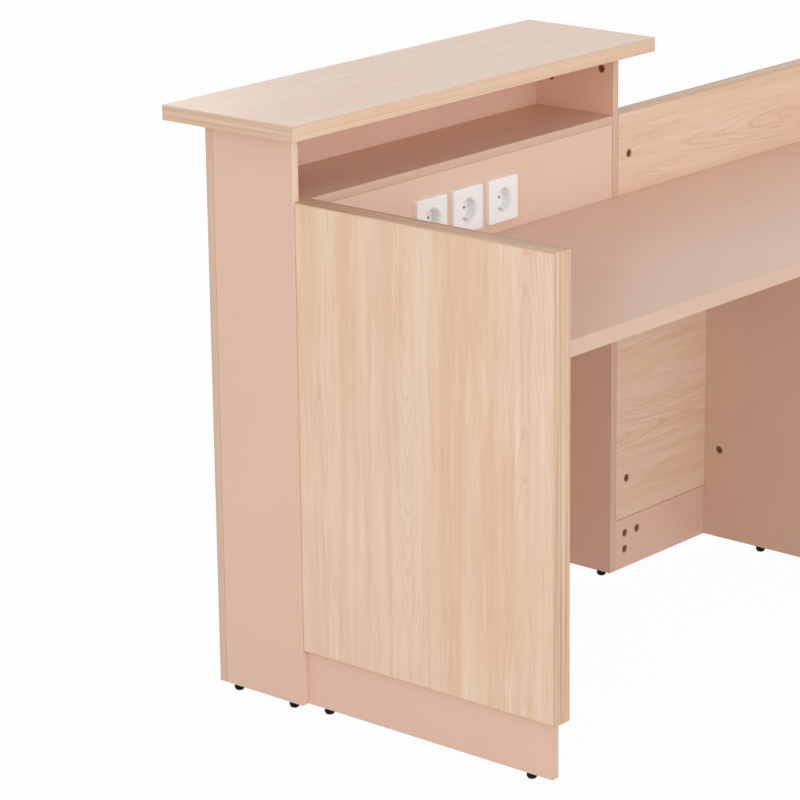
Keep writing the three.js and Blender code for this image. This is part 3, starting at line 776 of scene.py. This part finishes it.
DISH_MOUTH = 20.0 * MM
DISH_FLOOR = 19.25 * MM
DISH_DEPTH = 17.5 * MM
DISH_LIP = 0.5 * MM
DISH_WALL = 1.6 * MM
DISH_FILLET = 1.2 * MM
DISH_STEPS = 64
PIN_DEPTH = 11.0 * MM
PIN_CHAMFER = 0.4 * MM
COVER_MOUTH = DISH_MOUTH + 2.0 * MM
COVER_LAP = 3.0 * MM
COVER_WALL = 1.5 * MM
COVER_STEPS = 160
CORNER_POWER = 26.0
CORNER_CROWDING = 0.8
FACE_SHARES = (0.25, 0.5, 0.75, 0.95)
QUARTER_STEPS = 7
RIB_SUNK = 1.5 * MM
RIB_RISE = 1.6 * MM
RIB_SETBACK = 1.5 * MM
RIB_ROOT = 0.5 * MM
RIB_HALF_WIDTH = 2.4 * MM
RIB_ROUND = 0.6 * MM
CLIP_ROOT = 1.0 * MM
CLIP_SHORT = 2.5 * MM
CLIP_GAP = 0.2 * MM
CLIP_BOW = 3.0 * MM
CLIP_STEPS = 25
CONTACT_GAP = 0.1 * MM
CONTACT_WALL = 0.7 * MM
CONTACT_BASE = 1.0 * MM
CONTACT_TOP = 1.6 * MM
CONTACT_BOTTOM = 10.0 * MM
SMALL_STEPS = 24


def face_in(points):
    """Points worked out with depth along Z, turned so that it goes into the panel along Y."""
    return points[:, [0, 2, 1]]


def rounded_square(half):
    """Radius of a round-cornered square at each angle: half / (|cos|^p + |sin|^p)^(1/p).

    The angles crowd towards the corners, by angle = t + crowding * sin(4t) / 4.
    """
    t = np.linspace(0, 2 * math.pi, COVER_STEPS, endpoint=False)
    angle = t + CORNER_CROWDING * np.sin(4 * t) / 4
    powers = np.abs(np.cos(angle)) ** CORNER_POWER + np.abs(np.sin(angle)) ** CORNER_POWER
    return angle, half * powers ** (-1 / CORNER_POWER)


def socket_cover(centre, half, rise, ease):
    """Square cover lofted into a round mouth: sides, a quarter-round front edge, face and lip.

    Each row mixes the square's outline with the mouth's circle; centre is on the panel's face.
    """
    angle, square = rounded_square(half)
    turn = np.linspace(0, math.pi / 2, QUARTER_STEPS)
    lap = rise - COVER_LAP
    outside = COVER_MOUTH + COVER_WALL
    rows = [(0.0, 0.0, 0.0)]
    rows += [(ease * (1 - math.cos(a)), 0.0, rise - ease + ease * math.sin(a)) for a in turn]
    rows += [(ease, share, rise) for share in FACE_SHARES]
    rings = [(COVER_MOUTH + DISH_LIP * (1 - math.sin(a)), rise - DISH_LIP * (1 - math.cos(a)))
             for a in turn]
    rings += [(COVER_MOUTH, lap), (outside, lap), (outside, 0.0)]
    outer = [(square - inset) * (1 - share) + (COVER_MOUTH + DISH_LIP) * share
             for inset, share, _ in rows]
    radius = np.array(outer + [np.full_like(angle, r) for r, _ in rings])
    out = np.array([o for *_, o in rows] + [o for _, o in rings])
    points = np.stack([radius * np.cos(angle), np.broadcast_to(-out[:, None], radius.shape),
                       radius * np.sin(angle)], axis=-1)
    vertices, faces = open_tube(np.concatenate([points, points[:1]]))
    return vertices + centre, faces


def dish_floor(radius, bore, spacing, side):
    """Half of a round floor with one blind pin hole.

    Rays run from the hole's centre to the half disc's border, and the rows go from the hole's
    bottom, up its wall, over a small chamfer and out to the border.
    """
    steps = DISH_STEPS // 2
    arc_angle = np.linspace(-math.pi / 2, math.pi / 2, steps + 1)
    border = np.stack([radius * np.cos(arc_angle), radius * np.sin(arc_angle)], axis=-1)
    chord = np.linspace(radius, -radius, steps // 2 + 1)[1:-1]
    border = np.concatenate([border, np.stack([np.zeros_like(chord), chord], axis=-1)])
    hole = np.array([spacing / 2, 0.0])
    ray = border - hole
    unit = ray / np.linalg.norm(ray, axis=1, keepdims=True)
    brim = hole + unit * (bore / 2 + PIN_CHAMFER)
    wall = hole + unit * (bore / 2)
    levels = ((hole + unit * 0.0, PIN_DEPTH), (wall, PIN_DEPTH), (wall, PIN_CHAMFER),
              (brim, 0.0), ((brim + border) / 2, 0.0), (border, 0.0))
    points = np.array([np.column_stack([ring, np.full(len(ring), down)]) for ring, down in levels])
    points[..., 0] *= side
    return points


def socket_insert(centre, front, floor, back, trim):
    """Dish with two pin holes, backed by the contact block.

    The profile of its wall, lip and back is carried round the axis, and two halves of a floor
    close it.
    """
    taper = np.linspace(0, 1, 5)[:, None]
    wall = (1 - taper) * np.array([DISH_MOUTH, front + DISH_LIP])
    wall = wall + taper * np.array([DISH_FLOOR, floor - DISH_FILLET])
    inner = DISH_FLOOR - DISH_FILLET
    rounded_foot = arc((inner, floor - DISH_FILLET), DISH_FILLET, 0, 90, 5)[1:]
    lip = arc((DISH_MOUTH + DISH_LIP, front + DISH_LIP), DISH_LIP, 180, 270, 4)
    outer = DISH_MOUTH + DISH_WALL
    profile = np.concatenate([rounded_foot[::-1], wall[::-1], lip[1:],
                              [(outer, front), (outer, back), (0.0, back)]])
    shells = [open_tube(turned(profile, DISH_STEPS))]
    for side in (-1, 1):
        half = dish_floor(inner, trim.pin_bore, trim.pin_spacing, side)
        half[..., 2] += floor
        shells.append(open_tube(half))
    vertices, faces = join_shells(shells)
    return face_in(vertices) + centre, faces


def guide_rib(centre, side, front, floor):
    """A guide rib on the dish's wall: a rounded bar along the plug's way in."""
    left, right = sorted((side * (DISH_FLOOR + RIB_SUNK), side * (DISH_FLOOR - RIB_RISE)))
    low = np.array([left, front + RIB_SETBACK, -RIB_HALF_WIDTH])
    high = np.array([right, floor + RIB_ROOT, RIB_HALF_WIDTH])
    return rounded_bar(low + centre, high + centre, 1, RIB_ROUND)


def earth_clip(centre, side, front, floor, trim):
    """A bent spring strip: up from the floor beside the wall, bowed inwards.

    Its middle line stands off the wall by gap + bow * sin(pi * t^0.8) * (1 - t / 4).
    """
    t = np.linspace(0, 1, CLIP_STEPS)
    depth = floor + CLIP_ROOT - t * (floor - front - CLIP_SHORT)
    inward = DISH_FLOOR - CLIP_GAP - CLIP_BOW * np.sin(math.pi * t ** 0.8) * (1 - t / 4)
    path = np.stack([depth, side * inward], axis=-1)
    tangent = np.gradient(path, axis=0)
    tangent /= np.linalg.norm(tangent, axis=1, keepdims=True)
    normal = np.stack([-tangent[:, 1], tangent[:, 0]], axis=-1)
    width, gauge = trim.clip_width / 2, trim.clip_gauge / 2
    corners = np.array([(-width, -gauge), (width, -gauge), (width, gauge), (-width, gauge)])
    points = np.empty((len(t), len(corners), 3))
    points[..., 0] = corners[:, 0]
    points[..., 1:] = path[:, None] + corners[None, :, 1:] * normal[:, None]
    return capped_tube(points + centre)


def pin_contact(centre, side, floor, trim):
    """A contact sleeve in a pin hole: a turned cup with its open end towards the plug."""
    outer = trim.pin_bore / 2 - CONTACT_GAP
    inner = outer - CONTACT_WALL
    top, bottom = floor + CONTACT_TOP, floor + CONTACT_BOTTOM
    inside = bottom - CONTACT_BASE
    brim = top + 0.3 * MM
    flare = 0.2 * MM
    vertices, faces = open_tube(turned([
        (0.0, inside), (inner, inside), (inner, brim), (inner + flare, top), (outer - flare, top),
        (outer, brim), (outer, bottom), (0.0, bottom)], SMALL_STEPS))
    place = np.array([side * trim.pin_spacing / 2, 0.0, 0.0])
    return face_in(vertices) + centre + place, faces


class DESK_OT_sockets(bpy.types.Operator):
    """Mould the wall sockets: covers, dishes, guide ribs, pin contacts and earth clips"""

    bl_idname = "desk.sockets"
    bl_label = "Wall sockets"

    def execute(self, context):
        finishes, trim = context.scene.desk_finishes, context.scene.desk_trim
        white = moulded_plastic("socket_plastic", finishes.socket, 0.22, 900.0, coat=0.3)
        clip_metal = bare_metal("earth_clip_metal", finishes.clip, 0.4, 700.0, metallic=0.5)
        # The contact sleeves' near-black colour is painted shade of the deep pin holes.
        contact_metal = bare_metal("pin_contact_painted_shade", finishes.contact, 0.6, 700.0, metallic=0.6)
        grey = moulded_plastic("wall_box_plastic", finishes.wall_box, 0.5, 500.0)
        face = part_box("socket_panel")[0].y
        for number in (1, 2, 3):
            cover_low, cover_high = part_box(f"socket_cover_{number}")
            insert_low, insert_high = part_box(f"socket_insert_{number}")
            middle = (cover_low + cover_high) / 2
            centre = np.array([middle.x, face, middle.z])
            half = (cover_high.x - cover_low.x) / 2
            front, back = insert_low.y - face, insert_high.y - face
            floor = front + DISH_DEPTH
            cover = add_piece(f"socket_face_{number}",
                              socket_cover(centre, half, face - cover_low.y, trim.cover_ease),
                              white)
            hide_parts(f"socket_cover_{number}")
            dish = add_piece(f"socket_dish_{number}",
                             socket_insert(centre, front, floor, back, trim),
                             white)
            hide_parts(f"socket_insert_{number}")
            for side, word in ((-1, "left"), (1, "right")):
                add_piece(f"socket_rib_{word}_{number}",
                          guide_rib(centre, side, front, floor), white)
                add_piece(f"pin_contact_{word}_{number}",
                          pin_contact(centre, side, floor, trim), contact_metal)
            for side, word in ((-1, "lower"), (1, "upper")):
                add_piece(f"earth_clip_{word}_{number}",
                          earth_clip(centre, side, front, floor, trim), clip_metal)
            dress(f"socket_box_{number}", grey)
        return {"FINISHED"}


# Levelling feet

PAD_EDGE = 0.8 * MM
PAD_DRAFT = 0.4 * MM
PAD_WAIST = 3.0 * MM
PAD_SHOULDER = 4.0 * MM
PAD_CLEARANCE = 0.3 * MM
STEM_SUNK = 0.5 * MM
TOE_SHARE = 7 / 9
STEM_SHARE = 4 / 9
STEPS_PER_TURN = 6


def foot_shell(centre, lift, stem_top, pad, trim):
    """A levelling foot: a turned pad, and a stem whose radius follows a helix.

    The stem's radius is stem - depth * |2 frac(height / pitch - angle / 2 pi) - 1|.
    """
    toe, stem = pad * TOE_SHARE, pad * STEM_SHARE
    profile = np.concatenate([
        [(0.0, 0.0), (toe - PAD_EDGE, 0.0)],
        arc((toe - PAD_EDGE, PAD_EDGE), PAD_EDGE, -90, -30, 4)[1:],
        [(pad - PAD_DRAFT, PAD_WAIST)],
        arc((pad - PAD_EDGE, PAD_SHOULDER), PAD_EDGE, -15, 0, 3),
        arc((pad - PAD_EDGE, lift - PAD_EDGE), PAD_EDGE, 0, 90, 5),
        [(stem - trim.thread_depth, lift), (0.0, lift)]])
    turns = int(round((stem_top - lift) / trim.thread_pitch))
    height = np.linspace(lift - STEM_SUNK, stem_top, turns * STEPS_PER_TURN)
    angle = np.linspace(0, 2 * math.pi, SMALL_STEPS, endpoint=False)
    phase = height[:, None] / trim.thread_pitch - angle[None] / (2 * math.pi)
    radius = stem - trim.thread_depth * np.abs(2 * (phase % 1) - 1)
    thread = np.stack([radius * np.cos(angle), radius * np.sin(angle),
                       np.broadcast_to(height[:, None], radius.shape)], axis=-1)
    vertices, faces = join_shells([open_tube(turned(profile, trim.around)), capped_tube(thread)])
    return vertices + centre, faces


class DESK_OT_feet(bpy.types.Operator):
    """Turn the levelling feet with their threaded stems"""

    bl_idname = "desk.feet"
    bl_label = "Levelling feet"

    def execute(self, context):
        finishes, trim = context.scene.desk_finishes, context.scene.desk_trim
        black = moulded_plastic("foot_plastic", finishes.foot, 0.5, 600.0, specular=0.12)
        board_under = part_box("tower_left_side")[0].z
        for node in [name for name in NODES if name.startswith("foot_")]:
            low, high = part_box(node)
            centre = np.array([(low.x + high.x) / 2, (low.y + high.y) / 2, low.z])
            shell = foot_shell(centre, board_under - low.z - PAD_CLEARANCE, high.z - low.z,
                               (high.x - low.x) / 2, trim)
            piece = add_piece(f"{node}_turned", shell, black, body=node)
            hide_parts(node)
        return {"FINISHED"}


# Cams, bolts and brackets

HEAD_RISE = 0.3
HEAD_RIM = 0.3
DOME_START = 0.15
BRACKET_SHEET = 3.0 * MM
SCREW_INSET = 40.0 * MM


def pan_screw(place, axis, head):
    """A pan-head screw: a short turned rim under a quarter-ellipse dome."""
    radius, rise = head / 2, head * HEAD_RISE
    rim = HEAD_RIM * rise
    angle = np.linspace(DOME_START, math.pi / 2, QUARTER_STEPS)
    dome = np.stack([radius * np.cos(angle), rim + (rise - rim) * np.sin(angle)], axis=-1)
    vertices, faces = open_tube(turned(
        np.concatenate([[(0.0, 0.0), (radius, 0.0), (radius, rim)], dome]), SMALL_STEPS))
    turn = np.array(Vector((0, 0, 1)).rotation_difference(Vector(axis)).to_matrix())
    return vertices @ turn.T + place, faces


class DESK_OT_fittings(bpy.types.Operator):
    """Finish the cams, bolts and worktop brackets, and add the bracket screws"""

    bl_idname = "desk.fittings"
    bl_label = "Fittings"

    def execute(self, context):
        finishes, trim = context.scene.desk_finishes, context.scene.desk_trim
        # The cams' brown colour is painted shade of their bores and painted reflection of the pink
        # boards.
        zinc = bare_metal("cam_painted_shade_and_reflection", finishes.zinc, 0.45, 900.0, metallic=0.25)
        steel = bare_metal("plated_steel", finishes.steel, 0.32, 700.0)
        powder = moulded_plastic("bracket_powder", finishes.powder, 0.5, 1200.0)
        for node in NODES:
            if node.endswith("_cam"):
                dress(node, zinc, trim.fitting_ease)
            elif node.endswith("_cam_bolt"):
                dress(node, steel)
        for side, way in (("left", 1), ("right", -1)):
            node = f"worktop_bracket_{side}"
            dress(node, powder, trim.fitting_ease)
            low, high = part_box(node)
            corner_x = low.x if way > 0 else high.x
            leg = (high.x - low.x) / 2
            for number, y in enumerate((low.y + SCREW_INSET, high.y - SCREW_INSET), 1):
                under = np.array([corner_x + way * leg, y, high.z - BRACKET_SHEET])
                beside = np.array([corner_x + way * BRACKET_SHEET, y, high.z - leg])
                add_piece(f"bracket_screw_{side}_top_{number}",
                          pan_screw(under, (0, 0, -1), trim.screw_head), steel)
                add_piece(f"bracket_screw_{side}_wall_{number}",
                          pan_screw(beside, (way, 0, 0), trim.screw_head), steel)
        return {"FINISHED"}


# Stage

FLOOR_HALF = 15.0
SENSOR_WIDTH = 36.0
VIEW_DISTANCE = 100.0
LIGHT_TARGET = Vector((0.0, 0.0, 0.6))


def softbox(name, place, size, power, mirrored=False):
    """Rectangular area light; one that isn't mirrored leaves no sheen on the boards."""
    light = bpy.data.lights.new(name, "AREA")
    light.shape = "RECTANGLE"
    light.size, light.size_y = size
    light.energy = power
    lamp = bpy.data.objects.new(name, light)
    lamp.visible_glossy = mirrored
    lamp.location = place
    lamp.rotation_euler = (LIGHT_TARGET - Vector(place)).to_track_quat("-Z", "Y").to_euler()
    bpy.context.scene.collection.objects.link(lamp)


def white_to_camera(tree):
    """One where a ray comes from the camera, a mirror or glass, and zero for other light."""
    path = tree.nodes.new("ShaderNodeLightPath")
    seen = Field(tree, path.outputs["Is Camera Ray"])
    for ray in ("Is Glossy Ray", "Is Transmission Ray"):
        seen = seen.apply("MAXIMUM", Field(tree, path.outputs[ray]))
    return seen


def studio_world(stage):
    """Even light from all round, which the camera sees as white."""
    world = bpy.data.worlds.new("studio_world")
    bpy.context.scene.world = world
    world.use_nodes = True
    tree = world.node_tree
    background = tree.nodes["Background"]
    background.inputs["Color"].default_value = opaque((1, 1, 1))
    seen = white_to_camera(tree)
    feed(tree, background.inputs["Strength"], seen * (1 - stage.ambient) + stage.ambient)


def studio_floor(stage):
    """A wide white floor that keeps the desk's shadow, with plain white mixed in for the camera.

    It lies as low as the feet reach when they are screwed out.
    """
    mesh = bpy.data.meshes.new("studio_floor")
    corners = [(-1, -1), (1, -1), (1, 1), (-1, 1)]
    places = [(x * FLOOR_HALF, y * FLOOR_HALF, -stage.floor_drop) for x, y in corners]
    mesh.from_pydata(places, [], [(0, 1, 2, 3)])
    material, tree, shader = new_finish(
        "studio_floor", Base_Color=opaque(stage.floor), Roughness=0.9, Specular_IOR_Level=0.0)
    glow = tree.nodes.new("ShaderNodeEmission")
    mix = tree.nodes.new("ShaderNodeMixShader")
    feed(tree, mix.inputs[0], white_to_camera(tree) * stage.floor_glow)
    tree.links.new(shader.outputs[0], mix.inputs[1])
    tree.links.new(glow.outputs[0], mix.inputs[2])
    tree.links.new(mix.outputs[0], tree.nodes["Material Output"].inputs["Surface"])
    mesh.materials.append(material)
    floor = bpy.data.objects.new("studio_floor", mesh)
    bpy.context.scene.collection.objects.link(floor)


def photo_camera(stage):
    """A camera turned by its heading, pitch and roll."""
    camera = bpy.data.cameras.new("photo_camera")
    camera.sensor_width = SENSOR_WIDTH
    camera.lens = stage.lens
    camera.clip_end = VIEW_DISTANCE
    viewer = bpy.data.objects.new("photo_camera", camera)
    heading = Matrix.Rotation(-stage.heading, 4, "Z")
    pitch = Matrix.Rotation(math.pi / 2 - stage.pitch, 4, "X")
    roll = Matrix.Rotation(stage.roll, 4, "Z")
    viewer.matrix_world = Matrix.Translation(stage.camera_place) @ heading @ pitch @ roll
    bpy.context.scene.collection.objects.link(viewer)
    bpy.context.scene.camera = viewer


class DESK_OT_stage(bpy.types.Operator):
    """Set up the camera, the floor and the soft lights"""

    bl_idname = "desk.stage"
    bl_label = "Stage"

    def execute(self, context):
        stage = context.scene.desk_stage
        context.scene.view_settings.view_transform = "Standard"
        photo_camera(stage)
        studio_world(stage)
        studio_floor(stage)
        softbox("left_softbox", (-9.0, -0.8, 2.6), (8.0, 6.0), stage.left_power)
        softbox("staff_softbox", (-0.8, -9.0, 2.6), (11.0, 6.0), stage.staff_power)
        softbox("corner_softbox", (-4.0, -3.6, 1.2), (2.5, 1.8), stage.corner_power)
        softbox("rear_softbox", (2.1, 4.47, 2.1), (1.4, 1.4), stage.rear_power)
        softbox("sheen_softbox", (3.4, 7.5, 3.3), (5.0, 2.0), stage.sheen_power, mirrored=True)
        return {"FINISHED"}


# Add-on

class DESK_PT_looks(bpy.types.Panel):
    """Sidebar list of the desk's steps"""

    bl_label = "Reception Desk"
    bl_idname = "DESK_PT_looks"
    bl_space_type = "VIEW_3D"
    bl_region_type = "UI"
    bl_category = "Desk"

    def draw(self, context):
        for step in STEPS:
            self.layout.operator(step.bl_idname)


STEPS = (DESK_OT_stage, DESK_OT_boards, DESK_OT_thin_bands, DESK_OT_sockets, DESK_OT_feet,
         DESK_OT_fittings)
CLASSES = (DeskFinishes, DeskTrim, DeskStage, *STEPS, DESK_PT_looks)
SETTINGS = {"desk_finishes": DeskFinishes, "desk_trim": DeskTrim, "desk_stage": DeskStage}


def register():
    """Registers the classes and puts the settings on the scene."""
    for item in CLASSES:
        bpy.utils.register_class(item)
    for name, group in SETTINGS.items():
        setattr(bpy.types.Scene, name, PointerProperty(type=group))


def unregister():
    """Takes the settings and the classes away again."""
    for name in SETTINGS:
        delattr(bpy.types.Scene, name)
    for item in reversed(CLASSES):
        bpy.utils.unregister_class(item)


def main():
    register()
    bpy.ops.desk.stage()
    bpy.ops.desk.boards()
    bpy.ops.desk.thin_bands()
    bpy.ops.desk.sockets()
    bpy.ops.desk.feet()
    bpy.ops.desk.fittings()


if __name__ == "__main__":
    main()
